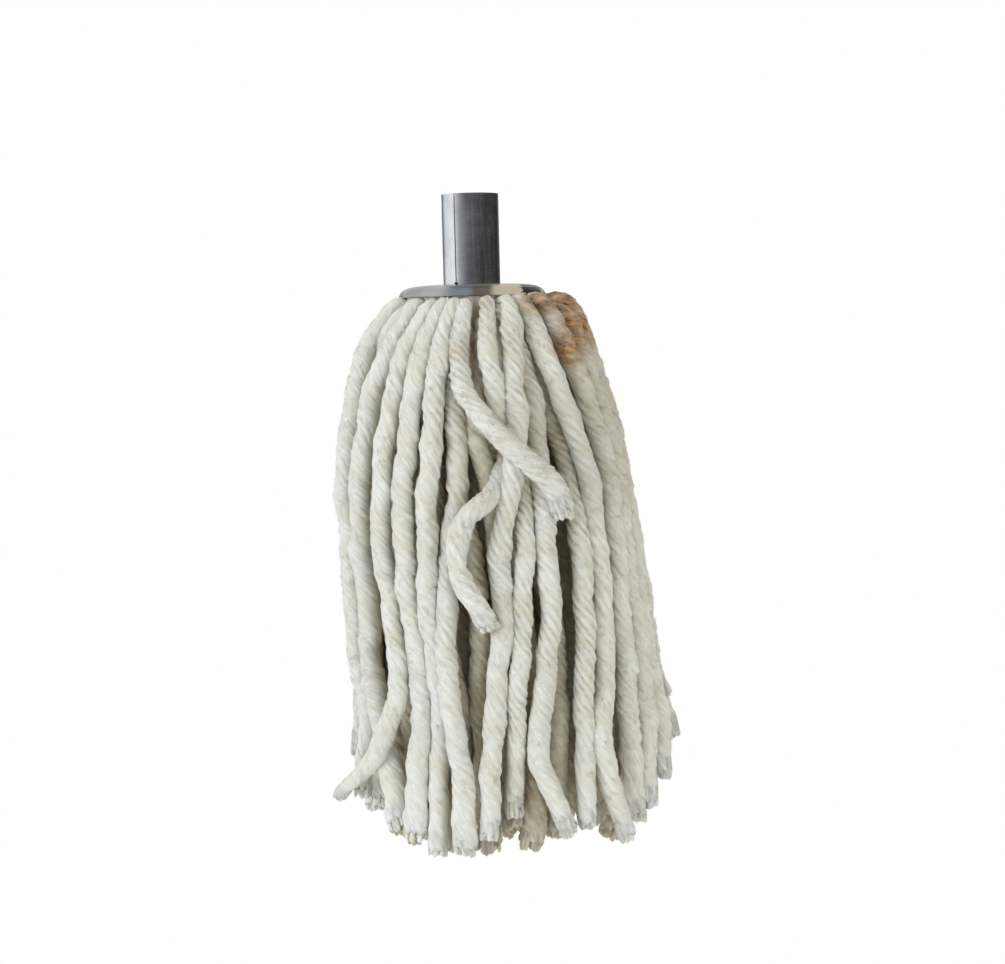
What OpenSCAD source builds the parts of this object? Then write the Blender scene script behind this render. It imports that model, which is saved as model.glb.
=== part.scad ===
// String mop head: a rolled steel socket clenched through a pressed cover plate, a pad of
// cotton yarns and a lower clamp washer. The yarns hang from the clamp as a skirt.
// Origin: centre of the socket mouth. +Z runs up, out of the mouth. Millimetres.

/* [Socket] */
// Inside diameter of the socket, for a round wooden handle
socket_bore_d = 24; // [24:0.1:24.4]
// Thickness of the rolled sheet
sheet_t = 0.6; // [0.5:0.05:0.7]
// Straight length of the socket wall
socket_len = 46; // [46:0.5:46.5]
// Width of the open seam
seam_gap = 0.5; // [0.3:0.1:0.8]
// Direction of the seam around the socket, in degrees
seam_at = -122.5; // [-140:0.5:-100]
// Width of the relief notch at the foot of the seam
notch_w = 1.8; // [1:0.1:2.5]
// Number of clenched prongs
prong_count = 4; // [3:1:4]
// Width of one prong
prong_w = 8; // [6:0.5:9]
// Length of a prong's bent end
prong_tab = 7; // [5:0.5:9]
// Outward set of the prongs below the straight wall
prong_set = 0.25; // [0.1:0.05:0.3]

/* [Cover plate] */
// Diameter of the pressed cover plate
plate_d = 65.4; // [64:0.1:66]
// Sheet thickness of the plate
plate_t = 0.8; // [0.6:0.1:0.9]
// Drop of the plate's rim below its crown
plate_drop = 5.4; // [4.5:0.1:5.8]

/* [Clamp] */
// Radius of the pad of clamped yarns
pad_r = 31.6; // [30:0.1:31.8]
// Lowest face of the pad
pad_bottom = -62; // [-62.5:0.1:-61.5]
// Radius of the lower clamp washer
washer_r = 29.5; // [27:0.5:30]
// Thickness of the lower clamp washer
washer_t = 1.2; // [1:0.1:1.4]

/* [Skirt] */
// Greatest radius of one soft yarn
yarn_r = 4.6; // [4:0.1:4.7]
// Mean level of the cut ends
cut_level = -274; // [-290:1:-262]
// Spread of the cut ends about that level
cut_spread = 5; // [0:0.5:8]
// Level of the cut end of the short strand in front
short_cut = -141; // [-180:1:-125]
// Level of the cut end of the curled strand behind it
curl_cut = -186; // [-230:1:-160]
// Sideways lean that the skirt has at its lower half
lean = 6.5; // [0:0.5:8]

/* [Hidden] */
tuft_count = 6;
tuft_step = 360 / tuft_count;
first_tuft = -80;
outer_count = 6 * tuft_count;

$fn = 96;
steel = [0.62, 0.64, 0.67];
bright_steel = [0.74, 0.75, 0.76];
cotton = [0.87, 0.87, 0.84];

bore_r = socket_bore_d / 2;
socket_r = bore_r + sheet_t;
plate_r = plate_d / 2;
crown_z = -39.6;
rim_z = crown_z - plate_drop;
fit_gap = 0.15;
washer_top = pad_bottom - 0.2;
washer_bottom = washer_top - washer_t;
first_prong = seam_at + 45;
notch_top = -38.8;
sides = 8;

// Share of the plate's radius and of its drop along the upper face, from hole to rim.
plate_line = [[0.6, 0.03], [0.76, 0.1], [0.87, 0.22], [0.935, 0.39], [0.972, 0.6], [0.992, 0.8]];

// Radius, level and share of the full yarn radius down the centre line of each layer's strands.
outer_line = [
    [34.2, -48.4, 0.52], [38, -52.2, 0.62], [42.5, -59, 0.71], [46.5, -68, 0.78], [50.5, -81, 0.86],
    [56.3, -98, 0.96], [60, -115, 1], [61.3, -140, 1], [61.8, -190, 1], [63, -235, 1]
];
middle_line = [
    [34, -56.4, 0.48], [36, -61.4, 0.54], [38.5, -70, 0.67], [41.5, -81, 0.8], [46, -97, 0.91],
    [48.5, -115, 0.96], [49, -150, 0.98], [50, -210, 0.98]
];
inner_line = [
    [34, -61.2, 0.43], [34.3, -66, 0.48], [34.5, -75, 0.57], [34.8, -90, 0.8], [35, -115, 0.96],
    [35, -190, 0.96]
];
core_line = [
    [34, -61.2, 0.43], [34, -66, 0.48], [33, -75, 0.57], [30, -90, 0.8], [26, -110, 0.96],
    [23, -140, 0.98], [22, -200, 0.98]
];
middle_offsets = [-22.5, -7.5, 7.5, 22.5];
inner_offsets = [-15, 15];

// Strands that were cut short, each with the level of its end: the seeds are those below.
short_strands = [[2, short_cut], [46, curl_cut]];

function ease(t) = let (u = min(1, max(0, t))) u * u * (3 - 2 * u);

// Sideways place of the skirt's axis at a level.
function skirt_x(z) = 2.5 * ease((-48 - z) / 50) + lean * ease((-130 - z) / 60);

// Level of a strand's cut end, uneven from strand to strand.
function end_z(seed) =
    let (short = [for (s = short_strands) if (s[0] == seed) s[1]])
    len(short) > 0 ? short[0] : cut_level + cut_spread * sin(seed * 137.5);

// The centre line down to the strand's cut end.
function closed_line(line, seed) =
    let (
        cut = end_z(seed),
        kept = [for (p = line) if (p[1] > cut + 2 * yarn_r) p],
        last = kept[len(kept) - 1]
    ) concat(kept, [[last[0] - 0.5, cut, last[2] * 0.97]]);

// Direction of the centre line at ring i, in the strand's own upright plane.
function run_at(line, i) =
    let (
        a = line[max(0, i - 1)],
        b = line[min(len(line) - 1, i + 1)],
        d = [b[0] - a[0], b[1] - a[1]]
    ) d / norm(d);

function ring_points(line, i, angle) =
    let (run = run_at(line, i), c = line[i], thick = yarn_r * c[2])
    [for (s = [0:sides - 1])
        let (
            turn = (s + 0.5) * 360 / sides,
            out = c[0] + thick * cos(turn) * -run[1],
            z = c[1] + thick * cos(turn) * run[0],
            side = thick * sin(turn)
        )
        [
            out * cos(angle) - side * sin(angle) + skirt_x(z),
            out * sin(angle) + side * cos(angle),
            z
        ]
    ];

// One strand: a tube of round rings swept down its centre line, closed at both ends.
module strand(line, angle, seed) {
    path = closed_line(line, seed);
    rings = len(path);
    points = [for (i = [0:rings - 1]) each ring_points(path, i, angle)];
    last = (rings - 1) * sides;
    faces = concat(
        [[for (s = [0:sides - 1]) s]],
        [for (i = [0:rings - 2], s = [0:sides - 1])
            let (t = (s + 1) % sides, a = i * sides, b = a + sides)
            [a + s, b + s, b + t, a + t]
        ],
        [[for (s = [sides - 1:-1:0]) last + s]]
    );
    color(cotton) polyhedron(points, faces);
}

module outer_strand(i) {
    angle = first_tuft - tuft_step / 2 + (i - 0.5) * 360 / outer_count;
    strand(outer_line, angle, i);
}

module middle_strands(k) {
    for (j = [0:len(middle_offsets) - 1])
        strand(middle_line, first_tuft + (k - 1) * tuft_step + middle_offsets[j], 40 + 4 * k + j);
}

module inner_strands(k) {
    centre = first_tuft + (k - 1) * tuft_step;
    for (j = [0:len(inner_offsets) - 1])
        strand(inner_line, centre + inner_offsets[j], 70 + 2 * k + j);
    strand(core_line, centre, 90 + k);
}

// Upright slots around the axis, wide enough for the prongs to pass.
module prong_slots(top, bottom) {
    for (k = [0:prong_count - 1])
        rotate(first_prong + k * 360 / prong_count)
            translate([bore_r - 1.1, -prong_w / 2 - 0.4, bottom])
                cube([sheet_t + 1.6, prong_w + 0.8, top - bottom]);
}

// Everything around the axis below the socket's straight wall, except the prongs.
module between_prongs(bottom) {
    difference() {
        translate([0, 0, bottom])
            cylinder(r = bore_r + prong_tab + 2, h = -socket_len - bottom);
        for (k = [0:prong_count - 1])
            rotate(first_prong + k * 360 / prong_count)
                translate([bore_r / 2, -prong_w / 2, bottom - 1])
                    cube([bore_r + prong_tab, prong_w, -socket_len - bottom + 2]);
    }
}

// A cut through one side of the wall, at the seam, from its foot up to a level.
module seam_cut(width, top) {
    rotate(seam_at)
        translate([bore_r - 1, -width / 2, -socket_len - 1])
            cube([sheet_t + 2, width, top + socket_len + 1]);
}

module socket() {
    tab_top = washer_bottom - fit_gap;
    foot = tab_top - sheet_t;
    leg_r = socket_r + prong_set;
    leg_top = -socket_len - prong_set;
    color(steel)
        difference() {
            rotate_extrude()
                polygon([
                    [bore_r, 0], [socket_r, 0], [socket_r, -socket_len], [leg_r, leg_top],
                    [leg_r, tab_top], [bore_r + prong_tab, tab_top], [bore_r + prong_tab, foot],
                    [leg_r - sheet_t, foot], [leg_r - sheet_t, leg_top], [bore_r, -socket_len]
                ]);
            seam_cut(seam_gap, 1);
            seam_cut(notch_w, notch_top);
            between_prongs(foot - 1);
        }
}

module cover_plate() {
    hole = socket_r + fit_gap;
    upper = [for (p = plate_line) [plate_r * p[0], crown_z - plate_drop * p[1]]];
    lower = [for (p = plate_line) [
        (plate_r - plate_t) * p[0],
        crown_z - plate_t - (plate_drop - plate_t) * p[1]
    ]];
    back = [for (i = [len(lower) - 1:-1:0]) lower[i]];
    color(bright_steel)
        rotate_extrude()
            polygon(concat(
                [[hole, crown_z]],
                upper,
                [[plate_r, rim_z + 0.3], [plate_r - 0.3, rim_z], [plate_r - plate_t, rim_z]],
                back,
                [[hole, crown_z - plate_t]]
            ));
}

// The yarns' middles, squeezed together between the plate and the washer.
module yarn_pad() {
    slack = 0.25;
    top = crown_z - plate_t - slack;
    drop = plate_drop - plate_t;
    hole = socket_r + slack;
    under = [for (p = plate_line) [(plate_r - plate_t - slack) * p[0] - 0.1, top - drop * p[1]]];
    color(cotton)
        difference() {
            rotate_extrude()
                polygon(concat(
                    [[0, -socket_len - slack], [hole, -socket_len - slack], [hole, top]],
                    under,
                    [
                        [pad_r - 0.6, rim_z - 0.9], [pad_r, rim_z - 2.5], [pad_r, pad_bottom + 2],
                        [pad_r - 0.8, pad_bottom], [0, pad_bottom]
                    ]
                ));
            prong_slots(-socket_len + 2, pad_bottom - 1);
        }
}

module clamp_washer() {
    bevel = 0.3;
    color(bright_steel)
        difference() {
            rotate_extrude()
                polygon([
                    [0, washer_top], [washer_r - bevel, washer_top], [washer_r, washer_top - bevel],
                    [washer_r, washer_bottom + bevel], [washer_r - bevel, washer_bottom],
                    [0, washer_bottom]
                ]);
            prong_slots(washer_top + 1, washer_bottom - 1);
        }
}

socket();
cover_plate();
yarn_pad();
clamp_washer();
for (i = [1:outer_count]) outer_strand(i);
for (k = [1:tuft_count]) middle_strands(k);
for (k = [1:tuft_count]) inner_strands(k);
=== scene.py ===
"""String mop head: rolled steel socket, pressed cover plate and a skirt of soft cotton yarns."""
import math

import bpy
import numpy as np
from mathutils import Matrix, Vector


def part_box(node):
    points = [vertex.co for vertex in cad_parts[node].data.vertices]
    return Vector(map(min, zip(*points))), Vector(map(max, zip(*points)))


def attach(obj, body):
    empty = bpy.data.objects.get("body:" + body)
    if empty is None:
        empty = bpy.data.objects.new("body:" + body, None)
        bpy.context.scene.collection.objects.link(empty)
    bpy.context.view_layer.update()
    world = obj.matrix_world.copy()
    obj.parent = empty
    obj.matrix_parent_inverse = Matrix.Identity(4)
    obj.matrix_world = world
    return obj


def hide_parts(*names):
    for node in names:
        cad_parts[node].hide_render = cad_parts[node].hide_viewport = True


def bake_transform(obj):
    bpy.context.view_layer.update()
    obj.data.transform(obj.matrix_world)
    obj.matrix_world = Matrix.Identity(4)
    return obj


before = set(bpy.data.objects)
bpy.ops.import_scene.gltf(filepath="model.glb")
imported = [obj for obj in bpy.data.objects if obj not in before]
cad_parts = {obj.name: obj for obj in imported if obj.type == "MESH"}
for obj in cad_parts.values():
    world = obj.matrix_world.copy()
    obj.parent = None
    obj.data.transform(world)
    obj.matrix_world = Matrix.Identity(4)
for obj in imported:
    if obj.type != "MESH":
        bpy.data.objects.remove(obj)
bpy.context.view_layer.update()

MM = 0.001
TUFTS = 6
TUFT_STEP = math.radians(360 / TUFTS)
FIRST_TUFT = math.radians(-80)
OUTER = 36

# ---------------------------------------------------------------- camera

EYE = Vector((11.4, -900.0, -52.0)) * MM
AIM = Vector((11.4, 0.0, -128.0)) * MM
ROLL = math.radians(1.4)
LENS = 72.3


def add_camera():
    forward = (AIM - EYE).normalized()
    right = forward.cross(Vector((0, 0, 1))).normalized()
    up = right.cross(forward)
    turned_up = up * math.cos(ROLL) + right * math.sin(ROLL)
    turned_right = right * math.cos(ROLL) - up * math.sin(ROLL)
    rows = Matrix((turned_right, turned_up, -forward)).transposed()
    data = bpy.data.cameras.new("camera")
    data.lens = LENS
    data.sensor_width = 36.0
    data.clip_start = 0.01
    data.clip_end = 20.0
    camera = bpy.data.objects.new("camera", data)
    bpy.context.scene.collection.objects.link(camera)
    camera.matrix_world = Matrix.Translation(EYE) @ rows.to_4x4()
    bpy.context.scene.camera = camera


add_camera()

# ---------------------------------------------------------------- yarn routes

# Radius and level of the CAD centre lines, millimetres.
OUTER_LINE = [(34.2, -48.4), (38, -52.2), (42.5, -59), (46.5, -68), (50.5, -81), (56.3, -98),
              (60, -115), (61.3, -140), (61.8, -190), (63, -235), (62.5, -290)]
MIDDLE_LINE = [(34, -56.4), (36, -61.4), (38.5, -70), (41.5, -81), (46, -97), (48.5, -115),
               (49, -150), (50, -210), (50, -290)]
INNER_LINE = [(34, -61.2), (34.3, -66), (34.5, -75), (34.8, -90), (35, -115), (35, -290)]
CORE_LINE = [(34, -61.2), (34, -66), (33, -75), (30, -90), (26, -110), (23, -140), (22, -290)]
MIDDLE_OFFSETS = (-22.5, -7.5, 7.5, 22.5)
INNER_OFFSETS = (-15, 15)

YARN_R = 4.6
NODES_PER_YARN = 60
CUT_LEVEL, CUT_SPREAD = -274.0, 5.0


def ease(t):
    u = np.clip(t, 0, 1)
    return u * u * (3 - 2 * u)


# Where the centre lines of the outermost yarns run on the left and on the right: (x, level).
LEFT_EDGE = [(-34, -48), (-36.5, -51), (-40, -56), (-45, -65), (-48, -76), (-49, -90),
             (-52, -98), (-55.5, -110), (-57.5, -125), (-57.5, -140), (-54, -160), (-51, -175),
             (-51, -210), (-51.5, -290)]
RIGHT_EDGE = [(40, -47.4), (43, -51), (46, -56), (49, -65), (52, -76), (57, -90), (61.5, -106),
              (64.7, -125), (67.6, -145), (70.5, -165), (73.4, -185), (75, -210), (74.5, -290)]


def line_r(line, z):
    levels = np.array([p[1] for p in line][::-1], float)
    radii = np.array([p[0] for p in line][::-1], float)
    return np.interp(z, levels, radii)


def section(z):
    """Middle and half width of the skirt's section at level z."""
    left, right = line_r(LEFT_EDGE, z), line_r(RIGHT_EDGE, z)
    return (left + right) / 2, (right - left) / 2


def on_skirt(line, z, angle, out=0.0, side=0.0):
    """The point of a layer of yarns at level z and angle, moved outward and sideways by a little."""
    r = line_r(line, z) + out
    middle, half = section(z)
    x, y = r * math.cos(angle) - side * math.sin(angle), r * math.sin(angle) + side * math.cos(angle)
    return middle + x * half / line_r(OUTER_LINE, z), y, z


def end_z(seed):
    return CUT_LEVEL + CUT_SPREAD * math.sin(math.radians(seed * 137.5))


# Sideways place of the yarns that show in front, at these levels, millimetres. The last number of
# a row is where the yarn ends. The depth row says how many yarns deep it lies: 0 is on the skirt's
# surface, 1 is one yarn under it and -1 is one yarn proud of it.
LEVELS = (-50, -70, -90, -110, -130, -150, -180, -210, -240, -270)
FRONT = {
    31: ((-33, -46, -50, -54.5, -56.5, -55.5, -51, -51.5, -50, -53), (0,) * 10),
    32: ((-29, -42, -49, -53, -55, -56, -53, -52, -50, -45),
         (0.8, 0.9, 0.9, 0.9, 0.9, 0.8, 0.7, 0.6, 0.5, 0.5)),
    33: ((-24, -37, -45, -48.5, -50.5, -51, -49, -48, -42, -36), (0,) * 10),
    34: ((-17, -29.5, -35, -38.5, -40.5, -41, -37.5, -35, -45, -65),
         (0,) * 7 + (-0.4, -0.8, -0.6)),
    35: ((-12, -22, -26, -29, -31, -31, -29, -25, -27, -30), (0,) * 10),
    36: ((-7, -14, -16.5, -18.5, -20.5, -21, -21, -17, -18, -20),
         (0,) * 7 + (0.2, 0.4, 0.4)),
    1: ((-3, -8.5, -8.5, -7, -8, -11, -14, -14, -9, -8),
        (0.5, 0.9, 0.9, 0.8, 0.6, 0.5, 0.1, -0.3, -0.3, 0)),
    3: ((6.5, 6.5, 10.5, 15, 21, 20, 18.5, 16, 14, 13), (0, 0, 0, 0.9, 0.7, 0.1, 0, 0, 0.6, 0.8)),
    4: ((15, 17, 17, 17, 12.5, 9.5, 10.5, 7, 4, 2), (0, 0, 0, 0.1, 0, 0, 0.1, 0, 0, 0)),
    5: ((13, 19, 23.5, 26.5, 27.5, 29, 30.5, 27, 24, 37), (1, 1, 1, 0.9, 0.3, 0, 0, 0, 0, 0)),
    6: ((17.5, 22.5, 30, 36.5, 41, 43.5, 45, 44, 44, 44),
        (1.3, 1.5, 1.4, 1.2, 0.8, 0.2, 0, 0, 0, 0)),
    7: ((21, 30.5, 37.5, 45, 49, 51, 53, 53, 51, 62), (0,) * 8 + (-0.4, -0.6)),
    8: ((29, 41, 48, 54.5, 58, 59.5, 61, 63, 64, 66), (0,) * 10),
}
# The short yarn that falls across the others, and the curled one: (x, level, depth in yarns).
DIAGONAL = [(-3, -49, 0), (-5, -60, 0), (-6, -72, 0), (-4.5, -83, -0.4), (1, -92, -0.9),
            (9, -102, -1.1), (18, -110.5, -1.2), (27, -118, -1.1), (33.5, -127, -0.9),
            (37, -138, -0.7)]
CURL = [(12, -57, 2), (13, -70, 2), (13.5, -90, 1.9), (13, -108, 1.6), (12, -119, 1.0),
        (7.5, -128, -0.1), (0.5, -133, -0.8), (-5.5, -139, -1.0), (-8.5, -148, -1.0),
        (-8, -158, -1.0), (-4, -168, -1.0), (1.5, -176.5, -0.9), (4.5, -184, -0.8)]
CURLED = "middle_1_3"
# How far the yarn beside the curled one has slid into its place, degrees round the skirt.
ROOM_BESIDE_CURL = 9
LAYER = 8.4
# Levels of the ends that the front shows plainly.
ENDS = {1: -281, 3: -266, 4: -274, 5: -274, 7: -279, 31: -266, 32: -270, 33: -273, 34: -266,
        35: -276, 36: -283}


def smooth_line(points, count):
    """Catmull-Rom through the points, then even spacing along the curve."""
    p = np.array(points, float)
    p = np.vstack([2 * p[0] - p[1], p, 2 * p[-1] - p[-2]])
    out = []
    for i in range(1, len(p) - 2):
        t = np.linspace(0, 1, 24, endpoint=False)[:, None]
        a, b, c, d = p[i - 1], p[i], p[i + 1], p[i + 2]
        out.append(0.5 * (2 * b + (c - a) * t + (2 * a - 5 * b + 4 * c - d) * t ** 2
                          + (3 * b - a - 3 * c + d) * t ** 3))
    out.append(p[-2][None, :])
    return even_line(np.vstack(out), count)


def even_line(line, count):
    step = np.linalg.norm(np.diff(line, axis=0), axis=1)
    along = np.concatenate([[0], np.cumsum(step)])
    wanted = np.linspace(0, along[-1], count)
    return np.stack([np.interp(wanted, along, line[:, k]) for k in range(3)], axis=1)


def front_point(x, z, depth):
    """The point at sideways place x and level z, so many yarns under the front of the skirt."""
    full = line_r(OUTER_LINE, z)
    r = full - LAYER * depth * (0.55 if z > -56 else 1)
    middle, half = section(z)
    side = min(abs(x - middle) * full / half, r * 0.985)
    return x, -math.sqrt(r * r - side * side), z


def rooted(points):
    """A route with its root added: it starts inside the pad and comes out from under the plate."""
    first = points[0]
    r = math.hypot(first[0], first[1])
    top = min(-48.6, first[2])
    roots = ((24.0, top - 1.6), (29.0, top - 1.0), (33.0, top))
    return [(first[0] * k / r, first[1] * k / r, z) for k, z in roots if k < r - 1.5] + points


def wander(size, seed):
    """A slow, seeded wave down a yarn: (sideways, outward) offsets in millimetres at level z."""
    own = np.random.default_rng(seed)
    phase = own.uniform(0, 2 * math.pi, 6)
    pitch = own.uniform(55, 130, 6)
    weight = own.normal(0, 1, 6) * (1, 0.7, 0.5, 0.8, 0.6, 0.4)

    def at(z):
        grow = ease((-58 - z) / 50)
        waves = weight * np.sin(2 * math.pi * z / pitch + phase)
        return size * grow * waves[:3].sum(), 0.6 * size * grow * waves[3:].sum()

    return at


def plain_route(line, angle, z_end, seed, size=1.7, flare=0.0, row=0.0):
    """A yarn that hangs in its own place round the skirt, with its own slight wander."""
    at = wander(size, seed)
    top = line[0][1] - row
    levels = [top] + [z for z in (-51, -57, -65, -75) if z < top - 2]
    levels += list(np.arange(-88, z_end + 8, -14.0)) + [z_end]
    points = []
    for z in levels:
        side, out = at(z)
        points.append(on_skirt(line, z, angle, out + flare * ease((-195 - z) / 60), side))
    if line is OUTER_LINE and not row:
        x, y, z = points[0]
        points[0] = (x * 1.06, y * 1.06, -48.0 + 0.6 * math.cos(angle))
    return points


def outer_angle(i):
    return FIRST_TUFT - TUFT_STEP / 2 + math.radians((i - 0.5) * 360 / OUTER)


def tuft_angle(k):
    return FIRST_TUFT + (k - 1) * TUFT_STEP


# How far the ends of some yarns at the sides stand out, and how much shorter they are, mm.
FLARED = {9: (4, 3), 10: (8, 20), 11: (13, 44), 12: (12.5, 31), 13: (9, 24), 14: (3, 10),
          29: (2, 4), 30: (5, 25)}
# How far each of these yarns has come untwisted, from 0 to 1; the rest have the usual value.
USUAL_SOFT = 0.15
SOFT = {31: 0.85, 32: 0.75, 33: 0.8, 34: 0.65, 35: 0.6, 36: 0.45, 1: 0.3, 2: 0.15, 3: 0, 4: 0,
        5: 0.2, 6: 0.1, 7: 0.35, 8: 0.5, 9: 0.6, 10: 0.55}
# How thin the last stretch of these yarns is, as a share of the full thickness.
USUAL_THIN = 0.96
THIN = {34: 0.62, 5: 0.84, 7: 0.84, 4: 0.9, 9: 0.8, 10: 0.66, 11: 0.6, 12: 0.6, 13: 0.66, 29: 0.8,
        30: 0.62, 31: 0.8}


def by_number(table, name, usual):
    kind, number = name.split("_")[1:3]
    return table.get(int(number), usual) if kind == "outer" else usual


class Yarn:
    """One hanging yarn: its name, tuft, CAD node and centre line in millimetres."""

    def __init__(self, name, node, tuft, points, hold):
        self.name, self.node, self.tuft, self.hold = name, node, tuft, hold
        self.line = smooth_line(rooted(points), NODES_PER_YARN)
        self.soft = by_number(SOFT, name, USUAL_SOFT)
        self.thin = by_number(THIN, name, USUAL_THIN)


# How firmly a yarn keeps to its route while the skirt settles: 1 would fix it.
HOLD_SHORT, HOLD_FRONT, HOLD_OUTER, HOLD_HIDDEN = 0.5, 0.22, 0.04, 0.02


def gather_yarns():
    yarns = []
    for i in range(1, OUTER + 1):
        tuft = (i - 1) // 6 + 1
        node = f"outer_strand_{i}"
        if i == 2:
            points = [front_point(*p) for p in DIAGONAL]
            yarns.append(Yarn(f"yarn_outer_{i}", node, tuft, points, HOLD_SHORT))
            continue
        if i in FRONT:
            xs, depths = FRONT[i]
            points = [front_point(x, z, d) for x, z, d in zip(xs, LEVELS, depths)]
            top = -48.0 + 0.02 * xs[0] - 4.5 * depths[0]
            points[0] = (*front_point(xs[0] * 1.03, top, depths[0] * 0.6 - 0.2)[:2], top)
            x, y, z = points[-1]
            points[-1] = (x, y, ENDS.get(i, end_z(i) - 3))
            yarns.append(Yarn(f"yarn_outer_{i}", node, tuft, points, HOLD_FRONT))
            continue
        flare, shorter = FLARED.get(i, (0, 0))
        row = 4.0 if i % 2 else 0.0
        points = plain_route(OUTER_LINE, outer_angle(i), end_z(i) + shorter, 100 + i, 1.3, flare, row)
        yarns.append(Yarn(f"yarn_outer_{i}", node, tuft, points, HOLD_OUTER))
    for k in range(1, TUFTS + 1):
        for j, offset in enumerate(MIDDLE_OFFSETS):
            name = f"middle_{k}_{j + 1}"
            seed = 40 + 4 * k + j
            if name == CURLED:
                points = [front_point(*p) for p in CURL]
                yarns.append(Yarn("yarn_" + name, f"middle_strands_{k}", k, points, HOLD_SHORT))
                continue
            angle = tuft_angle(k) + math.radians(offset - ROOM_BESIDE_CURL * (name == "middle_1_4"))
            points = plain_route(MIDDLE_LINE, angle, end_z(seed) - 3, 200 + seed, 2.4)
            yarns.append(Yarn("yarn_" + name, f"middle_strands_{k}", k, points, HOLD_HIDDEN))
        for j, offset in enumerate(INNER_OFFSETS):
            seed = 70 + 2 * k + j
            angle = tuft_angle(k) + math.radians(offset)
            line = INNER_LINE
            if (k, j) == (1, 1):
                line, angle = MIDDLE_LINE, tuft_angle(1) + math.radians(1)
            points = plain_route(line, angle, end_z(seed) - 4, 300 + seed, 2.6)
            yarns.append(Yarn(f"yarn_inner_{k}_{j + 1}", f"inner_strands_{k}", k, points, HOLD_HIDDEN))
        points = plain_route(CORE_LINE, tuft_angle(k), end_z(90 + k) + 2, 400 + k, 2.8)
        yarns.append(Yarn(f"yarn_inner_{k}_3", f"inner_strands_{k}", k, points, HOLD_HIDDEN))
    return yarns


# ---------------------------------------------------------------- how the yarns settle

SETTLE_STEPS = 90
SOFTNESS = 0.87


def node_radii(line):
    """Yarn radius down each line: squeezed in the clamp, full a little below it."""
    step = np.linalg.norm(np.diff(line, axis=1), axis=2)
    along = np.concatenate([np.zeros((len(line), 1)), np.cumsum(step, axis=1)], axis=1)
    return YARN_R * (0.76 + 0.26 * ease((along - 6) / 28)), along


def close_pairs(points, radii, owner, index):
    """Index pairs of nodes on different yarns, or far apart on one, that are near each other."""
    reach = 2 * YARN_R + 2.5
    cell = np.floor(points / reach).astype(int)
    cell -= cell.min(0)
    size = cell.max(0) + 3
    key = (cell[:, 0] * size[1] + cell[:, 1]) * size[2] + cell[:, 2]
    order = np.argsort(key, kind="stable")
    sorted_key = key[order]
    firsts, seconds = [], []
    for dx in (-1, 0, 1):
        for dy in (-1, 0, 1):
            for dz in (-1, 0, 1):
                other = key + (dx * size[1] + dy) * size[2] + dz
                low = np.searchsorted(sorted_key, other, "left")
                high = np.searchsorted(sorted_key, other, "right")
                count = high - low
                a = np.repeat(np.arange(len(points)), count)
                start = np.repeat(low, count)
                within = np.arange(count.sum()) - np.repeat(np.cumsum(count) - count, count)
                b = order[start + within]
                keep = a < b
                firsts.append(a[keep])
                seconds.append(b[keep])
    a, b = np.concatenate(firsts), np.concatenate(seconds)
    apart = (owner[a] != owner[b]) | (np.abs(index[a] - index[b]) > 5)
    a, b = a[apart], b[apart]
    near = np.linalg.norm(points[a] - points[b], axis=1) < reach
    return a[near], b[near]


def settle(yarns):
    """Moves the yarns' lines apart until they only touch, keeping their lengths and their smoothness."""
    line = np.stack([y.line for y in yarns])
    rest = line.copy()
    radii, along = node_radii(line)
    segment = along[:, 1:2]
    many, nodes = line.shape[:2]
    owner = np.repeat(np.arange(many), nodes)
    index = np.tile(np.arange(nodes), many)
    hold = np.array([y.hold for y in yarns])[:, None, None]
    root = ease((23 - along) / 9)[..., None]
    flat_r = radii.ravel()
    move_share = 1 / (1 + 12 * np.repeat(hold.ravel(), nodes))
    for turn in range(SETTLE_STEPS):
        flat = line.reshape(-1, 3)
        if turn % 6 == 0:
            a, b = close_pairs(flat, flat_r, owner, index)
        gap = flat[b] - flat[a]
        far = np.linalg.norm(gap, axis=1) + 1e-9
        deep = (flat_r[a] + flat_r[b]) * SOFTNESS - far
        hit = deep > 0
        ha, hb = a[hit], b[hit]
        push = gap[hit] / far[hit, None] * deep[hit, None]
        push[:, 2] *= 0.3
        share = move_share[ha] / (move_share[ha] + move_share[hb])
        shift = np.zeros_like(flat)
        count = np.bincount(ha, minlength=len(flat)) + np.bincount(hb, minlength=len(flat))
        for k in range(3):
            shift[:, k] -= np.bincount(ha, push[:, k] * share, len(flat))
            shift[:, k] += np.bincount(hb, push[:, k] * (1 - share), len(flat))
        shift /= np.maximum(1, 0.55 * count)[:, None]
        line = line + shift.reshape(line.shape)
        middle = 0.5 * (line[:, :-2] + line[:, 2:])
        line[:, 1:-1] += 0.35 * (middle - line[:, 1:-1])
        line += hold * (rest - line)
        line = root * rest + (1 - root) * line
        for k in range(1, nodes):
            d = line[:, k] - line[:, k - 1]
            n = np.linalg.norm(d, axis=1, keepdims=True) + 1e-9
            line[:, k] = line[:, k - 1] + d / n * (0.4 * n + 0.6 * segment)
    for _ in range(2):
        line[:, 1:-1] += 0.4 * (0.5 * (line[:, :-2] + line[:, 2:]) - line[:, 1:-1])
    for y, own, r in zip(yarns, line, radii):
        y.line, y.radii = own, r
    flat = line.reshape(-1, 3)
    a, b = close_pairs(flat, flat_r, owner, index)
    deep = (flat_r[a] + flat_r[b]) - np.linalg.norm(flat[b] - flat[a], axis=1)
    print("yarns settled: deepest overlap", round(float(deep.max()), 2), "mm")


# ---------------------------------------------------------------- yarn meshes

PLIES = 6
LAY = 31.0
AROUND = PLIES * 8
RING_STEP = 1.5
GROOVE = 0.68
BRUSH = 36
LOCK_SIDES = 6
# A knot is a stretch where the twist is firm or slack; the brush begins this far above the cut.
KNOT_STEP, BRUSH_ROOT = 14, 4
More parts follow.
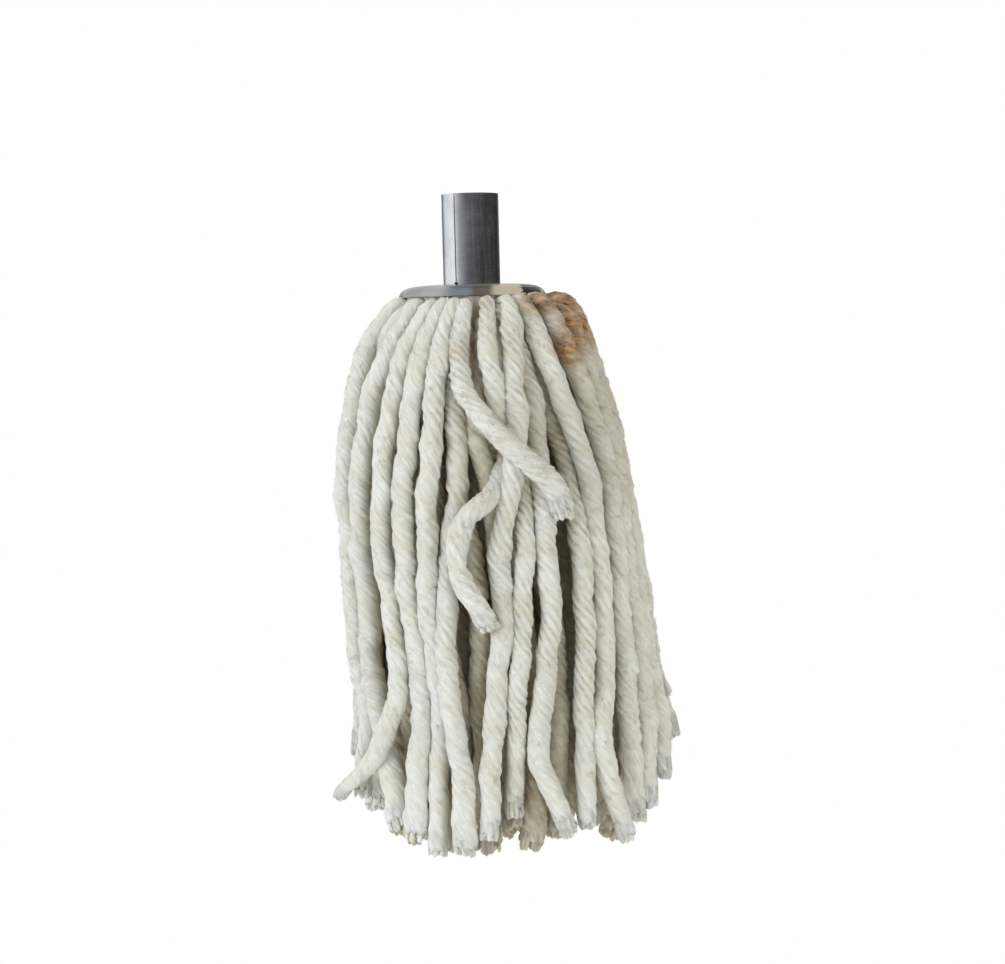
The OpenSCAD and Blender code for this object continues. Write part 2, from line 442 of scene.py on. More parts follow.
# Seeded phases are drawn from 0 to this, radians.
PHASES = 6.28


def frames_along(line):
    """Tangent and two side directions at each point, turned as little as possible along the line."""
    tangent = np.gradient(line, axis=0)
    tangent /= np.linalg.norm(tangent, axis=1, keepdims=True)
    side = np.cross(tangent[0], (0.31, 0.2, 0.93))
    side /= np.linalg.norm(side)
    sides = [side]
    for t in tangent[1:]:
        side = side - t * (side @ t)
        side = side / np.linalg.norm(side)
        sides.append(side)
    sides = np.array(sides)
    return tangent, sides, np.cross(sides, tangent)


def tube_faces(rings, around, first=0):
    """Side faces of a tube whose rings of points lie one after another."""
    ring = first + np.arange(rings - 1)[:, None] * around
    here = ring + np.arange(around)[None, :]
    step = ring + np.roll(np.arange(around), -1)[None, :]
    return np.stack([here, step, step + around, here + around], axis=2).reshape(-1, 4)


def cut_brush(own, course, end_radius, wide, seed, first):
    """The loose fibres at a yarn's cut: thin pointed locks that start inside the yarn."""
    line, along, tangent, e1, e2 = course
    length = along[-1]
    verts, yarn_co, groove, faces = [], [], [], []
    steps = np.array([0, 0.35, 0.65, 0.85, 0.95, 1.0])
    fat = np.array([1.0, 1.0, 1.0, 0.93, 0.72, 0.34])
    slant, slant_at = own.uniform(0.3, 2.0), own.uniform(0, 2 * math.pi)
    ring = np.arange(LOCK_SIDES) * 2 * math.pi / LOCK_SIDES
    for _ in range(BRUSH):
        begin = length - own.uniform(6, 11)
        a = own.uniform(0, 2 * math.pi)
        far = end_radius * math.sqrt(own.uniform(0, 1)) * 0.84
        far *= 1 + 0.13 * math.cos(2 * (a - wide))
        cut = slant * math.cos(a - slant_at) * far / YARN_R
        reach = length - begin + 0.2 + cut + own.uniform(-1.0, 1.0)
        at = begin + steps * reach
        here = np.stack([np.interp(at, along, line[:, k]) for k in range(3)], axis=1)
        here += np.maximum(at - length, 0)[:, None] * tangent[-1]
        ahead = np.minimum(np.searchsorted(along, at), len(along) - 1)
        spokes = math.cos(a) * e1[ahead] + math.sin(a) * e2[ahead]
        drift = own.normal(0, 0.45, 2)
        away = far * (1 + own.uniform(-0.1, 0.12) * steps)
        middle = (here + away[:, None] * spokes
                  + np.outer(steps ** 2, drift[0] * e1[-1] + drift[1] * e2[-1]))
        way = middle[-1] - middle[0]
        way /= np.linalg.norm(way)
        spoke = spokes[0]
        cross = np.cross(way, spoke)
        cross /= np.linalg.norm(cross)
        other = np.cross(cross, way)
        thick = own.uniform(0.8, 1.3) * fat
        tube = middle[:, None, :] + thick[:, None, None] * (
            np.cos(ring)[None, :, None] * other + np.sin(ring)[None, :, None] * cross)
        verts += [tube.reshape(-1, 3), middle[:1], middle[-1:] + 0.2 * way]
        spot = np.stack([far * math.cos(a) + 0.8 * np.cos(ring) + 0 * steps[:, None],
                         far * math.sin(a) + 0.8 * np.sin(ring) + 0 * steps[:, None],
                         steps[:, None] * reach + length + 40.0 * seed + 0 * ring], axis=2)
        yarn_co += [spot.reshape(-1, 3), spot[0, :1], spot[-1, :1]]
        # Each lock gets a random share of the painted groove shade.
        groove += [np.full(len(steps) * LOCK_SIDES + 2, own.uniform(0.0, 0.4))]
        faces += [tuple(q) for q in tube_faces(len(steps), LOCK_SIDES, first)]
        low = first + (len(steps) - 1) * LOCK_SIDES
        cap = first + len(steps) * LOCK_SIDES
        for q in range(LOCK_SIDES):
            w = (q + 1) % LOCK_SIDES
            faces += [(first + w, first + q, cap), (low + q, low + w, cap + 1)]
        first = cap + 2
    return verts, yarn_co, groove, faces


def yarn_mesh(yarn, seed):
    """A twisted yarn of lobed plies, with the plies opening into a short ragged end."""
    own = np.random.default_rng(seed)
    length = np.linalg.norm(np.diff(yarn.line, axis=0), axis=1).sum()
    rings = int(length / RING_STEP)
    line = smooth_line(yarn.line, rings)
    along = np.linspace(0, length, rings)
    radius = np.interp(along, np.linspace(0, length, len(yarn.radii)), yarn.radii)
    radius = radius * (own.uniform(0.90, 1.02) + 0.13 * yarn.soft)
    free = ease((along - 20) / 30)[:, None]
    for pitch, reach in ((41, 0.36), (24, 0.22), (15, 0.14)):
        phase = own.uniform(0, 2 * math.pi, 3)
        line = line + free * reach * np.sin(2 * math.pi * along[:, None] / pitch + phase) * (1, 1, 0.2)
    tangent, e1, e2 = frames_along(line)
    lump = sum(own.normal(0, size) * np.sin(2 * math.pi * along / p + own.uniform(0, PHASES))
               for p, size in ((7, 0.014), (11, 0.025), (19, 0.035), (33, 0.035)))
    loose = ease((50 - (length - along)) / 45)
    narrow = 1 - (1 - yarn.thin) * ease((46 - (length - along)) / 40)
    radius = radius * (1 + lump + 0.10 * loose) * narrow
    turns = np.cumsum(1 / (LAY * (1 + 0.16 * np.sin(2 * math.pi * along / 85 + own.uniform(0, PHASES)))
                           * own.uniform(0.9, 1.12) * (1 + 0.7 * loose))) * (along[1] - along[0])
    twist = own.uniform(0, 2 * math.pi) + 2 * math.pi * turns
    theta = np.arange(AROUND) * 2 * math.pi / AROUND
    ply = theta * PLIES / (2 * math.pi)
    which = np.floor(ply + 1e-6).astype(int) % PLIES
    part = ply - np.floor(ply + 1e-6)
    crest = (0.5 - 0.5 * np.cos(2 * math.pi * part)) ** 0.7
    size = np.array([np.interp(along, np.linspace(0, length, 9), own.normal(0, 0.04, 9))
                     for _ in range(PLIES)]).T
    knots = int(length / KNOT_STEP)
    firm = np.interp(along, np.linspace(0, length, knots), own.uniform(0.1, 1.25, knots))
    firm = firm * (1 - yarn.soft)
    deep = GROOVE * firm * (0.7 + 0.5 * ease((along - 20) / 40)) * (1 - 0.55 * loose)
    keep = rings - int(BRUSH_ROOT / (along[1] - along[0]))
    r = radius[:, None] * (1 + size[:, which] * crest) - deep[:, None] * (1 - crest)
    tuft = own.normal(0, 1, (rings // 2 + 2, AROUND // 2))
    tuft = np.repeat(np.repeat(tuft, 2, axis=0)[:rings], 2, axis=1)
    tuft = tuft + np.roll(tuft, 1, axis=1) + np.roll(tuft, 1, axis=0) + np.roll(tuft, (1, 1), (0, 1))
    r = r + 0.05 * tuft
    angle = theta[None, :] + twist[:, None]
    wide = own.uniform(0, math.pi)
    r = r * (1 + 0.13 * loose[:, None] * np.cos(2 * (angle - wide)))
    out = np.cos(angle)[..., None] * e1[:, None, :] + np.sin(angle)[..., None] * e2[:, None, :]
    co = line[:, None, :] + r[..., None] * out
    ragged = own.uniform(-1.2, 1.2, AROUND)
    for back, share in ((1, 1.0), (2, 0.6), (3, 0.3)):
        co[keep - back] += share * ragged[:, None] * tangent[keep - back]
    place = np.stack([radius[:, None] * np.cos(theta) + 0 * angle,
                      radius[:, None] * np.sin(theta) + 0 * angle,
                      along[:, None] + 40.0 * seed + 0 * angle], axis=2)
    verts = [co[:keep].reshape(-1, 3), line[[keep - 1, 0]]]
    yarn_co = [place[:keep].reshape(-1, 3), place[[keep - 1, 0], 0] * (0, 0, 1)]
    shown = np.clip(firm * (1 - 0.5 * loose), 0, 1)[:keep, None]
    # Painted shade: groove darkens the cotton in the hollows between the plies, as far as the twist
    # shows.
    groove = [((1 - crest)[None, :] * shown).ravel(), [0.6, 1.0]]
    faces = [tuple(q) for q in tube_faces(keep, AROUND)]
    last, tip = (keep - 1) * AROUND, keep * AROUND
    for s in range(AROUND):
        t = (s + 1) % AROUND
        faces += [(last + s, last + t, tip), (t, s, tip + 1)]
    brush = cut_brush(own, (line, along, tangent, e1, e2), radius[-1], wide, seed, tip + 2)
    verts, yarn_co, groove, faces = (x + y for x, y in zip((verts, yarn_co, groove, faces), brush))
    return np.vstack(verts), faces, np.vstack(yarn_co), np.concatenate(groove), line


def near_spots(points, spots):
    total = np.zeros(len(points))
    for centre, reach, strength in spots:
        far = np.linalg.norm((points - np.array(centre[:3])) / np.array((1, 1.3, 1)), axis=1)
        total = np.maximum(total, strength * ease(1.35 - far / reach))
    return total


def stain_at(points):
    """How rust-stained a point is, from 0 to 1: the yarns' shoulders on the right, near the plate."""
    return near_spots(points, [
        ((36, -20, -48), 12, 1.0), ((40, -12, -46), 11, 1.0), ((44, -20, -60), 13, 1.0),
        ((50, -8, -58), 13, 1.0), ((41, -32, -68), 10, 1.0), ((28, -30, -48), 9, 0.9),
        ((47, -26, -81), 5, 0.5), ((50, 4, -52), 11, 0.8), ((5, -37, -47), 5, 0.35),
        ((-5, -40, -70), 9, 0.65), ((-2, -40, -84), 6, 0.25)])


def shade_and_soil_at(points):
    """How much painted shade, with some soiling, a point gets: the upper right of the skirt, which lies
    away from the key light, and everything that lies deep inside it, where shade falls.
    """
    z = points[:, 2]
    middle, half = section(z)
    full = line_r(OUTER_LINE, z) + YARN_R
    rho = np.hypot((points[:, 0] - middle) * full / (half + YARN_R), points[:, 1])
    inside = ease((full - rho - 3.5) / 11)
    patch = near_spots(points, [((54, -22, -92), 24, 0.6), ((60, -18, -120), 24, 0.45),
                                ((52, 0, -75), 26, 0.6), ((14, -40, -62), 12, 0.3),
                                ((30, -42, -95), 16, 0.4)])
    return np.maximum(inside, patch)


def link(obj):
    bpy.context.scene.collection.objects.link(obj)
    return obj


def mesh_object(name, verts, faces, material, floats=None, vectors=None):
    mesh = bpy.data.meshes.new(name)
    mesh.from_pydata(np.asarray(verts).tolist(), [], [list(f) for f in faces])
    mesh.shade_smooth()
    for key, values in (floats or {}).items():
        mesh.attributes.new(key, "FLOAT", "POINT").data.foreach_set(
            "value", np.asarray(values, np.float32))
    for key, values in (vectors or {}).items():
        mesh.attributes.new(key, "FLOAT_VECTOR", "POINT").data.foreach_set(
            "vector", np.asarray(values, np.float32).ravel())
    mesh.materials.append(material)
    mesh.update()
    return link(bpy.data.objects.new(name, mesh))


# ---------------------------------------------------------------- materials


class Nodes:
    """Short hand for building a material's node tree."""

    def __init__(self, name):
        self.material = bpy.data.materials.new(name)
        self.material.use_nodes = True
        self.tree = self.material.node_tree
        self.shader = self.tree.nodes["Principled BSDF"]

    def node(self, kind, **values):
        made = self.tree.nodes.new(kind)
        for key, value in values.items():
            if key in made.inputs:
                made.inputs[key].default_value = value
            else:
                setattr(made, key, value)
        return made

    def link(self, out, into):
        self.tree.links.new(out, into)

    def attribute(self, name):
        return self.node("ShaderNodeAttribute", attribute_name=name)

    def math(self, operation, a, b=None, clamp=False):
        made = self.node("ShaderNodeMath", operation=operation, use_clamp=clamp)
        for socket, value in zip(made.inputs, (a, b)):
            if value is None:
                continue
            if isinstance(value, (int, float)):
                socket.default_value = value
            else:
                self.link(value, socket)
        return made.outputs[0]

    def scaled(self, vector, by):
        made = self.node("ShaderNodeVectorMath", operation="MULTIPLY")
        self.link(vector, made.inputs[0])
        made.inputs[1].default_value = by
        return made.outputs[0]

    def noise(self, vector, scale, detail=3.0, roughness=0.55, distortion=0.0):
        made = self.node("ShaderNodeTexNoise", Scale=scale, Detail=detail, Roughness=roughness,
                         Distortion=distortion)
        self.link(vector, made.inputs["Vector"])
        return made.outputs["Fac"]

    def distance(self, place, centre, size):
        """Half the distance from a centre, measured in units of size, both in millimetres."""
        offset = self.node("ShaderNodeVectorMath", operation="SUBTRACT")
        self.link(place, offset.inputs[0])
        offset.inputs[1].default_value = Vector(centre) * MM
        far = self.node("ShaderNodeVectorMath", operation="LENGTH")
        self.link(self.scaled(offset.outputs[0], tuple(500 / k for k in size)), far.inputs[0])
        return far.outputs["Value"]

    def ramp(self, value, stops):
        made = self.node("ShaderNodeValToRGB")
        self.link(value, made.inputs[0])
        elements = made.color_ramp.elements
        while len(elements) < len(stops):
            elements.new(0.5)
        for element, (place, colour) in zip(elements, stops):
            element.position = place
            element.color = (*colour, 1.0) if len(colour) == 3 else colour
        return made.outputs[0]

    def mix(self, factor, a, b, blend="MIX"):
        made = self.node("ShaderNodeMix", data_type="RGBA", blend_type=blend)
        for socket, value in ((made.inputs[0], factor), (made.inputs[6], a), (made.inputs[7], b)):
            if isinstance(value, tuple):
                socket.default_value = (*value, 1.0)
            elif isinstance(value, (int, float)):
                socket.default_value = value
            else:
                self.link(value, socket)
        return made.outputs[2]

    def bump(self, height, strength, distance, normal=None):
        made = self.node("ShaderNodeBump", Strength=strength, Distance=distance)
        self.link(height, made.inputs["Height"])
        if normal is not None:
            self.link(normal, made.inputs["Normal"])
        return made.outputs["Normal"]


def cotton_material():
    m = Nodes("cotton_yarn")
    place = m.attribute("yarn_co").outputs["Vector"]
    groove = m.attribute("groove").outputs["Fac"]
    stain = m.attribute("stain").outputs["Fac"]
    soil = m.attribute("soil").outputs["Fac"]
    fine = m.noise(m.scaled(place, (1.0, 1.0, 0.10)), 2.0, 4.0, 0.6)
    fibre = m.noise(m.scaled(place, (1.0, 1.0, 0.16)), 5.5, 3.0, 0.65)
    patch = m.noise(place, 0.09, 2.0, 0.5)
    speck = m.noise(place, 0.8, 2.0, 0.5)
    cream = m.ramp(patch, [(0.3, (0.80, 0.80, 0.70)), (0.5, (0.855, 0.87, 0.805)),
                           (0.72, (0.88, 0.90, 0.86))])
    # Painted shade with some soiling: this attribute mixes the cream towards a brownish olive deep
    # inside the skirt and on its upper right.
    shade_and_soil_tint = m.ramp(m.noise(place, 0.35, 4.0, 0.65), [(0.35, (0.66, 0.61, 0.48)),
                                                     (0.62, (0.46, 0.395, 0.25))])
    shaded_and_soiled = m.mix(m.math("MULTIPLY", soil, 0.85), cream, shade_and_soil_tint)
    # Painted shade in the ply grooves: where the groove attribute is high, broken up by noise, the
    # cotton is darkened towards olive brown.
    broken = m.ramp(m.noise(place, 0.45, 3.0, 0.6), [(0.40, (0.15, 0.15, 0.15)),
                                                    (0.62, (1, 1, 1))])
    groove_shade = m.math("MULTIPLY", m.math("POWER", groove, 1.3), broken)
    shaded = m.mix(m.math("MULTIPLY", groove_shade, 0.62), shaded_and_soiled, (0.45, 0.40, 0.255))
    fibred = m.mix(m.ramp(fine, [(0.36, (0.34, 0.34, 0.34)), (0.54, (0.0, 0.0, 0.0))]),
                   shaded, (0.50, 0.45, 0.31))
    flecked = m.mix(m.ramp(speck, [(0.68, (0, 0, 0)), (0.76, (0.3, 0.3, 0.3))]),
                    fibred, (0.52, 0.44, 0.29))
    blot = m.ramp(m.noise(place, 0.22, 4.0, 0.6), [(0.30, (0.55, 0.55, 0.55)),
                                                  (0.55, (1, 1, 1))])
    rust = m.ramp(m.noise(place, 0.3, 3.0, 0.6), [(0.36, (0.15, 0.075, 0.03)),
                                                 (0.50, (0.40, 0.205, 0.07)),
                                                 (0.66, (0.62, 0.41, 0.21))])
    colour = m.mix(m.math("MULTIPLY", stain, blot, True), flecked, rust)
    m.link(colour, m.shader.inputs["Base Color"])
    first = m.bump(fine, 0.8, 0.0009)
    m.link(m.bump(fibre, 0.7, 0.0004, first), m.shader.inputs["Normal"])
    m.shader.inputs["Roughness"].default_value = 0.93
    m.shader.inputs["Specular IOR Level"].default_value = 0.15
    m.shader.inputs["Subsurface Weight"].default_value = 0.35
    m.shader.inputs["Subsurface Radius"].default_value = (1.0, 0.93, 0.78)
    m.shader.inputs["Subsurface Scale"].default_value = 0.0035
    m.shader.inputs["Sheen Weight"].default_value = 0.12
    m.shader.inputs["Sheen Roughness"].default_value = 0.6
    m.shader.inputs["Sheen Tint"].default_value = (0.95, 0.95, 0.93, 1.0)
    return m.material


def steel_material(name, base, blotch, rough, scratch, spots, painted_reflections=(), dark_spots=()):
    """Zinc-coated sheet: clouded bloom, fine drawn lines, small dull marks, dark ragged spots and, where
    given, patches of painted reflection and shade.
    """
    m = Nodes(name)
    place = m.node("ShaderNodeTexCoord").outputs["Object"]
    cloud = m.noise(place, 90.0, 4.0, 0.6)
    bloom = m.noise(place, 420.0, 3.0, 0.6)
    drawn = m.noise(m.scaled(place, scratch), 1.0, 4.0, 0.7)
    colour = m.ramp(cloud, [(0.30, blotch), (0.62, base)])
    wear_and_painted_reflection = m.mix(m.ramp(bloom, [(0.60, (0, 0, 0)), (0.76, (spots,) * 3)]), colour,
                 (0.36, 0.33, 0.28))
    # Painted reflection and shade: soft patches of given colour that stand in for what the plate
    # reflects and for the shade below the tube.
    for centre, size, reflected_colour in painted_reflections:
        wear_and_painted_reflection = m.mix(m.ramp(m.distance(place, centre, size), [(0.35, (0.9,) * 3), (0.65, (0,) * 3)]),
                     wear_and_painted_reflection, reflected_colour)
    # Near-black ragged spots, given by centre and size.
    for centre, size in dark_spots:
        ragged = m.math("ADD", m.distance(place, centre, size), m.math("MULTIPLY", bloom, 0.5))
        wear_and_painted_reflection = m.mix(m.ramp(ragged, [(0.66, (1, 1, 1)), (0.72, (0, 0, 0))]), wear_and_painted_reflection,
                     (0.035, 0.03, 0.028))
    m.link(wear_and_painted_reflection, m.shader.inputs["Base Color"])
    level = m.node("ShaderNodeMapRange")
    m.link(m.math("ADD", m.math("MULTIPLY", drawn, 0.6), m.math("MULTIPLY", cloud, 0.4)),
           level.inputs["Value"])
    level.inputs["From Min"].default_value = 0.3
    level.inputs["From Max"].default_value = 0.7
    level.inputs["To Min"].default_value = rough[0]
    level.inputs["To Max"].default_value = rough[1]
    m.link(level.outputs["Result"], m.shader.inputs["Roughness"])
    m.link(m.bump(drawn, 0.10, 0.0001, m.bump(cloud, 0.10, 0.0004)), m.shader.inputs["Normal"])
    m.shader.inputs["Metallic"].default_value = 1.0
    return m.material


COTTON = cotton_material()
GALVANISED = steel_material("galvanised_steel", (0.62, 0.645, 0.665), (0.47, 0.49, 0.51),
                            (0.16, 0.34), (900.0, 900.0, 25.0), 0.35)
PLATED = steel_material("plated_steel", (0.74, 0.745, 0.73), (0.56, 0.565, 0.55),
                        (0.11, 0.25), (60.0, 60.0, 900.0), 0.35,
                        # Painted reflections on the plate: a cream patch for the yarns it reflects, a
                        # blue-grey one for the tube's dark reflection and a dark brown one for the shade
                        # under the tube.
                        [((24, -16, -43), (20, 30, 12), (0.88, 0.78, 0.56)),
                         ((-2.5, -25, -43), (8, 26, 12), (0.30, 0.34, 0.41)),
                         ((4.5, -27, -43), (4.5, 20, 12), (0.20, 0.16, 0.12))],
                        # A near-black ragged spot at the plate's front right.
                        [((26, -16, -42), (6.5, 13, 4))])

# ---------------------------------------------------------------- the skirt

# How many loose fibres lie over each yarn, and how many steps and sides each fibre has.
FIBRES_PER_YARN = 740
FIBRE_STEPS, FIBRE_SIDES = 4, 3


def fuzz_tufts(surfaces, seed):
    """Short loose fibres that lie over the yarns' surface and stand off it a little."""
    own = np.random.default_rng(seed)
    starts, outs, downs = [], [], []
    for co, centre in surfaces:
        ring = own.integers(14, len(centre) - 6, FIBRES_PER_YARN)
        start = co[ring * AROUND + own.integers(0, AROUND, FIBRES_PER_YARN)]
        out = start - centre[ring]
        down = centre[ring + 1] - centre[ring - 1]
        starts.append(start)
        outs.append(out / (np.linalg.norm(out, axis=1, keepdims=True) + 1e-9))
        downs.append(down / np.linalg.norm(down, axis=1, keepdims=True))
    start, out, down = np.vstack(starts), np.vstack(outs), np.vstack(downs)
    many = len(start)
    side = np.cross(out, down)
    way = down * own.normal(0, 1, (many, 1)) + side * own.normal(0.2, 0.8, (many, 1))
    way /= np.linalg.norm(way, axis=1, keepdims=True) + 1e-9
    across = np.cross(way, out)
    size = own.uniform(1.4, 4.6, (many, 1))
    rise = own.uniform(0.02, 0.34, (many, 1)) ** 1.4
    sway = own.normal(0, 0.16, (many, 1))
    thick = own.uniform(0.05, 0.12, (many, 1))
    rings = []
    for t in np.linspace(0, 1, FIBRE_STEPS):
        middle = (start + way * size * t + across * size * sway * math.sin(math.pi * t)
                  + out * (size * rise * math.sin(2.4 * t) - 0.12 - size * size * t * t * 0.05))
        for turn in range(FIBRE_SIDES):
            a = turn * 2 * math.pi / FIBRE_SIDES
            rings.append(middle + thick * (1 - 0.6 * t) * (math.cos(a) * out + math.sin(a) * across))
    verts = np.stack(rings, axis=1).reshape(-1, 3)
    pattern = []
    for step in range(FIBRE_STEPS - 1):
        low, high = step * FIBRE_SIDES, (step + 1) * FIBRE_SIDES
        for turn in range(FIBRE_SIDES):
            after = (turn + 1) % FIBRE_SIDES
            pattern.append((low + turn, low + after, high + after, high + turn))
    each = FIBRE_STEPS * FIBRE_SIDES
    quads = (np.arange(many)[:, None, None] * each + np.array(pattern)[None]).reshape(-1, 4)
    caps = np.arange(many)[:, None] * each
    ends = np.vstack([caps + (each - 3, each - 2, each - 1), caps + (2, 1, 0)])
    return verts, quads.tolist() + ends.tolist()


def build_skirt():
    yarns = gather_yarns()
    settle(yarns)
    by_node = {}
    others = [y for y in yarns if "middle" in y.name and not y.name.endswith(CURLED)]
    others.sort(key=lambda y: -np.linalg.norm(np.diff(y.line, axis=0), axis=1).sum())
    surfaces = {k: [] for k in range(1, TUFTS + 1)}
    for number, yarn in enumerate(yarns):
        verts, faces, yarn_co, groove, centre = yarn_mesh(yarn, number + 1)
        surfaces[yarn.tuft].append((verts, centre))
        obj = mesh_object(yarn.name, verts * MM, faces, COTTON,
                          {"groove": groove, "stain": stain_at(verts), "soil": shade_and_soil_at(verts)},
                          {"yarn_co": yarn_co})
        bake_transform(obj)
        by_node.setdefault(yarn.node, []).append(obj)
    for node, objs in by_node.items():
        for obj in objs:
            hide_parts(node)
    for k in range(1, TUFTS + 1):
        verts, faces = fuzz_tufts(surfaces[k], 900 + k)
        obj = mesh_object(f"yarn_fuzz_{k}", verts * MM, faces, COTTON,
                          {"groove": np.zeros(len(verts)), "stain": stain_at(verts),
                           "soil": shade_and_soil_at(verts)}, {"yarn_co": verts * 3})
        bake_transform(obj)


PAD_TURNS, PAD_RIDGES, PAD_LINE_PITCH = 312, 39, 7.5


def build_pad():
    """The yarns' squeezed middles: a disc with ridges round its edge and across its faces."""
    low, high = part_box("yarn_pad")
    bottom, top = low[2] / MM, high[2] / MM
    plan = [(12.95, -46.3), (12.95, top), (17.7, top - 0.1), (22.4, top - 0.6), (25.7, top - 1.3),
            (28.2, top - 2.2), (29.9, top - 3.2), (30.9, -45.9), (31.4, -47.6), (31.5, -51),
            (31.5, -55), (31.5, -59), (30.9, bottom + 0.5), (29.5, bottom), (20, bottom),
            (10, bottom), (0.2, bottom)]
    inside = [(0.2, -46.3), (6, -46.3), (12.9, -46.3)]
    profile = np.array(inside + plan, float)
    step = np.linalg.norm(np.diff(profile, axis=0), axis=1)
    along = np.concatenate([[0], np.cumsum(step)])
    wanted = np.linspace(0, along[-1], 90)
    radius = np.interp(wanted, along, profile[:, 0])
    level = np.interp(wanted, along, profile[:, 1])
    turns = PAD_TURNS
    theta = np.arange(turns) * 2 * math.pi / turns
    r, a = np.meshgrid(radius, theta, indexing="ij")
    z = np.repeat(level[:, None], turns, axis=1)
    ridge = 0.5 + 0.5 * np.cos(PAD_RIDGES * a + 0.6 * np.sin(5 * a))
    edge = ease((r - 26) / 4)
    r = r - 0.7 * edge * (1 - ridge) * (z < -45)
    lines = 0.5 + 0.5 * np.cos((r * np.cos(a + 0.35)) * 2 * math.pi / PAD_LINE_PITCH)
    z = np.where(z <= bottom + 0.05, z + 0.6 * (1 - lines), z)
    z = np.where((z > -46.5) & (r < 12.5), z - 0.8 * (1 - lines), z)
    verts = np.stack([r * np.cos(a), r * np.sin(a), z], axis=2).reshape(-1, 3)
    rows = len(radius)
    faces = []
    for i in range(rows - 1):
        for j in range(turns):
            k = (j + 1) % turns
            faces.append((i * turns + j, (i + 1) * turns + j, (i + 1) * turns + k, i * turns + k))
    faces.append(tuple(range(turns)))
    faces.append(tuple(range((rows - 1) * turns, rows * turns))[::-1])
    # Painted shade: the groove attribute darkens the hollows between the pad's ridges and lines.
    groove = (1 - ridge * edge - lines * (1 - edge)).reshape(-1)
    pad = mesh_object("yarn_pad_squeezed", verts * MM, faces, COTTON,
                      {"groove": groove, "stain": stain_at(verts), "soil": shade_and_soil_at(verts)},
                      {"yarn_co": verts})
    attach(pad, "head")
    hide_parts("yarn_pad")


def dress(node, material):
    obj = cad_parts[node]
    obj.data.materials.clear()
    obj.data.materials.append(material)


build_skirt()
build_pad()
dress("socket", GALVANISED)
dress("cover_plate", PLATED)
dress("clamp_washer", PLATED)

# ---------------------------------------------------------------- studio


def stage_plane(name, corners, colour):
    mesh = bpy.data.meshes.new(name)
    mesh.from_pydata(corners, [], [(0, 1, 2, 3)])
    material = bpy.data.materials.new(name)
    material.use_nodes = True
    shader = material.node_tree.nodes["Principled BSDF"]
    shader.inputs["Base Color"].default_value = (*colour, 1)
    shader.inputs["Roughness"].default_value = 0.9
    mesh.materials.append(material)
    obj = link(bpy.data.objects.new(name, mesh))


FLOOR_Z, FLOOR_R = -0.75, 0.95
stage_plane("floor", [(-FLOOR_R, -FLOOR_R, FLOOR_Z), (FLOOR_R, -FLOOR_R, FLOOR_Z),
                      (FLOOR_R, FLOOR_R, FLOOR_Z), (-FLOOR_R, FLOOR_R, FLOOR_Z)],
            (0.90, 0.90, 0.90))


def area_light(name, place, target, size, power, colour=(1, 1, 1)):
    data = bpy.data.lights.new(name, "AREA")
    data.shape = "RECTANGLE"
    data.size, data.size_y = size
    data.energy = power
    data.color = colour
    obj = link(bpy.data.objects.new(name, data))
    place, target = Vector(place), Vector(target)
    turn = (target - place).to_track_quat("-Z", "Y").to_matrix().to_4x4()
    obj.matrix_world = Matrix.Translation(place) @ turn
    obj.visible_glossy = False


# What shiny metal sees round the studio: a bright window on its left, a dark room on its right.
# The place runs once round, from behind the object by its left, its front and its right.
ROOM = [(0.0, 0.58), (0.035, 0.5), (0.06, 0.14), (0.10, 0.20), (0.15, 1.1), (0.31, 1.4),
        (0.355, 0.55), (0.42, 0.28), (0.47, 0.11), (0.54, 0.065), (0.60, 0.018), (0.88, 0.012),
        (0.955, 0.22), (1.0, 0.58)]
CEILING = 0.56
# How brightly the pale room itself lights the cotton.
AMBIENT = 0.70
LIT_POINT = (0.01, 0, -0.16)


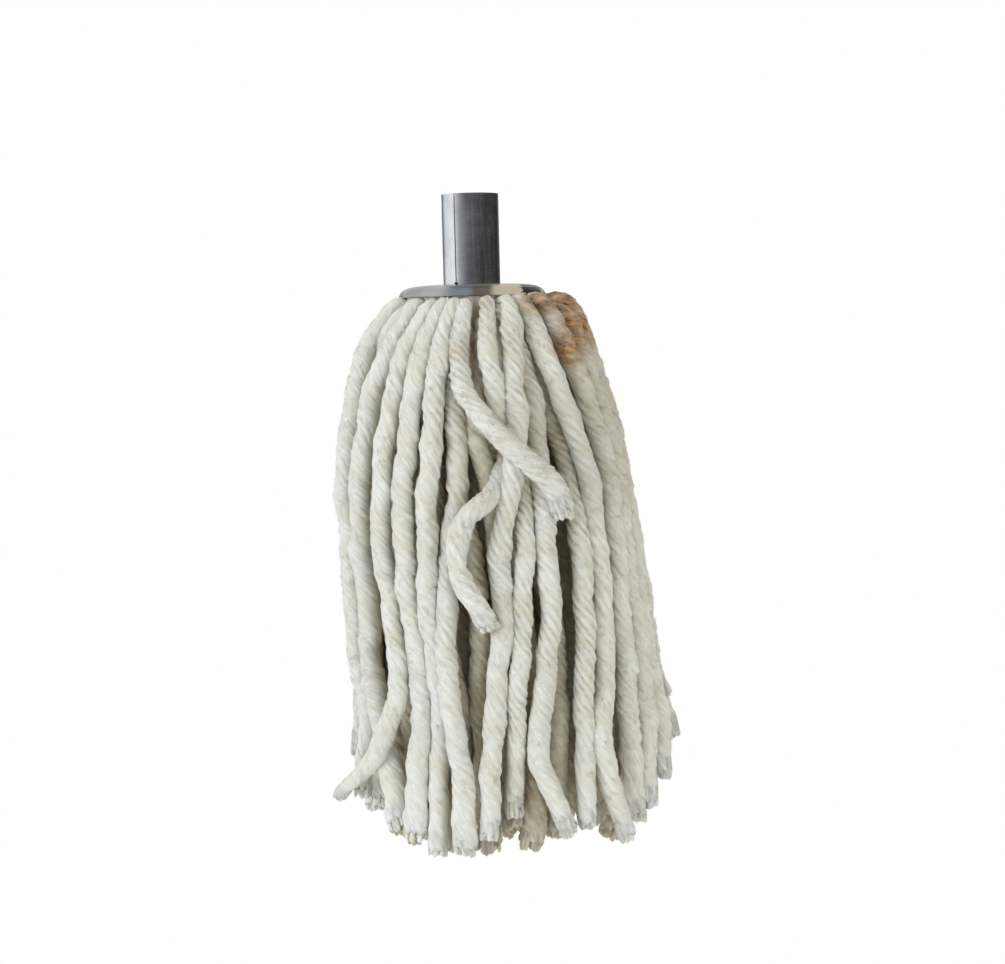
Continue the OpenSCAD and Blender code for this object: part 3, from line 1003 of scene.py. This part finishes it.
def build_world():
    world = bpy.data.worlds.new("studio")
    bpy.context.scene.world = world
    world.use_nodes = True
    tree = world.node_tree
    tree.nodes.clear()
    make, join = tree.nodes.new, tree.links.new
    out = make("ShaderNodeOutputWorld")
    path = make("ShaderNodeLightPath")

    def plain(colour, strength):
        shade = make("ShaderNodeBackground")
        shade.inputs["Color"].default_value = (*colour, 1)
        shade.inputs["Strength"].default_value = strength
        return shade

    def either(factor, a, b):
        mix = make("ShaderNodeMixShader")
        join(factor, mix.inputs[0])
        join(a.outputs[0], mix.inputs[1])
        join(b.outputs[0], mix.inputs[2])
        return mix

    way = make("ShaderNodeTexCoord")
    parts = make("ShaderNodeSeparateXYZ")
    join(way.outputs["Generated"], parts.inputs[0])
    turned = make("ShaderNodeMath")
    turned.operation = "MULTIPLY"
    turned.inputs[1].default_value = -1
    join(parts.outputs["Y"], turned.inputs[0])
    angle = make("ShaderNodeMath")
    angle.operation = "ARCTAN2"
    join(parts.outputs["X"], angle.inputs[0])
    join(turned.outputs[0], angle.inputs[1])
    share = make("ShaderNodeMapRange")
    share.inputs["From Min"].default_value = -math.pi
    share.inputs["From Max"].default_value = math.pi
    join(angle.outputs[0], share.inputs["Value"])
    ramp = make("ShaderNodeValToRGB")
    join(share.outputs["Result"], ramp.inputs[0])
    elements = ramp.color_ramp.elements
    while len(elements) < len(ROOM):
        elements.new(0.5)
    for element, (place, value) in zip(elements, ROOM):
        element.position = place
        element.color = (value * 0.98, value, value * 1.02, 1)
    rise = make("ShaderNodeMapRange")
    rise.interpolation_type = "SMOOTHSTEP"
    rise.inputs["From Min"].default_value = 0.06
    rise.inputs["From Max"].default_value = 0.35
    join(parts.outputs["Z"], rise.inputs["Value"])
    sky = make("ShaderNodeMix")
    sky.data_type = "RGBA"
    join(rise.outputs["Result"], sky.inputs[0])
    join(ramp.outputs[0], sky.inputs[6])
    sky.inputs[7].default_value = (CEILING, CEILING, CEILING, 1)
    room = make("ShaderNodeBackground")
    join(sky.outputs[2], room.inputs["Color"])
    soft = either(path.outputs["Is Glossy Ray"], plain((1.0, 0.97, 0.89), AMBIENT), room)
    seen = either(path.outputs["Is Camera Ray"], soft, plain((1.0, 1.0, 1.0), 1.0))
    join(seen.outputs[0], out.inputs[0])


build_world()
area_light("key", (-1.35, -0.95, 0.35), LIT_POINT, (1.2, 1.2), 14.5, (0.925, 0.985, 1.13))
area_light("fill", (0.7, -1.35, -0.35), LIT_POINT, (0.9, 0.9), 4.6, (0.95, 0.99, 1.07))

scene = bpy.context.scene
scene.view_settings.view_transform = "Standard"
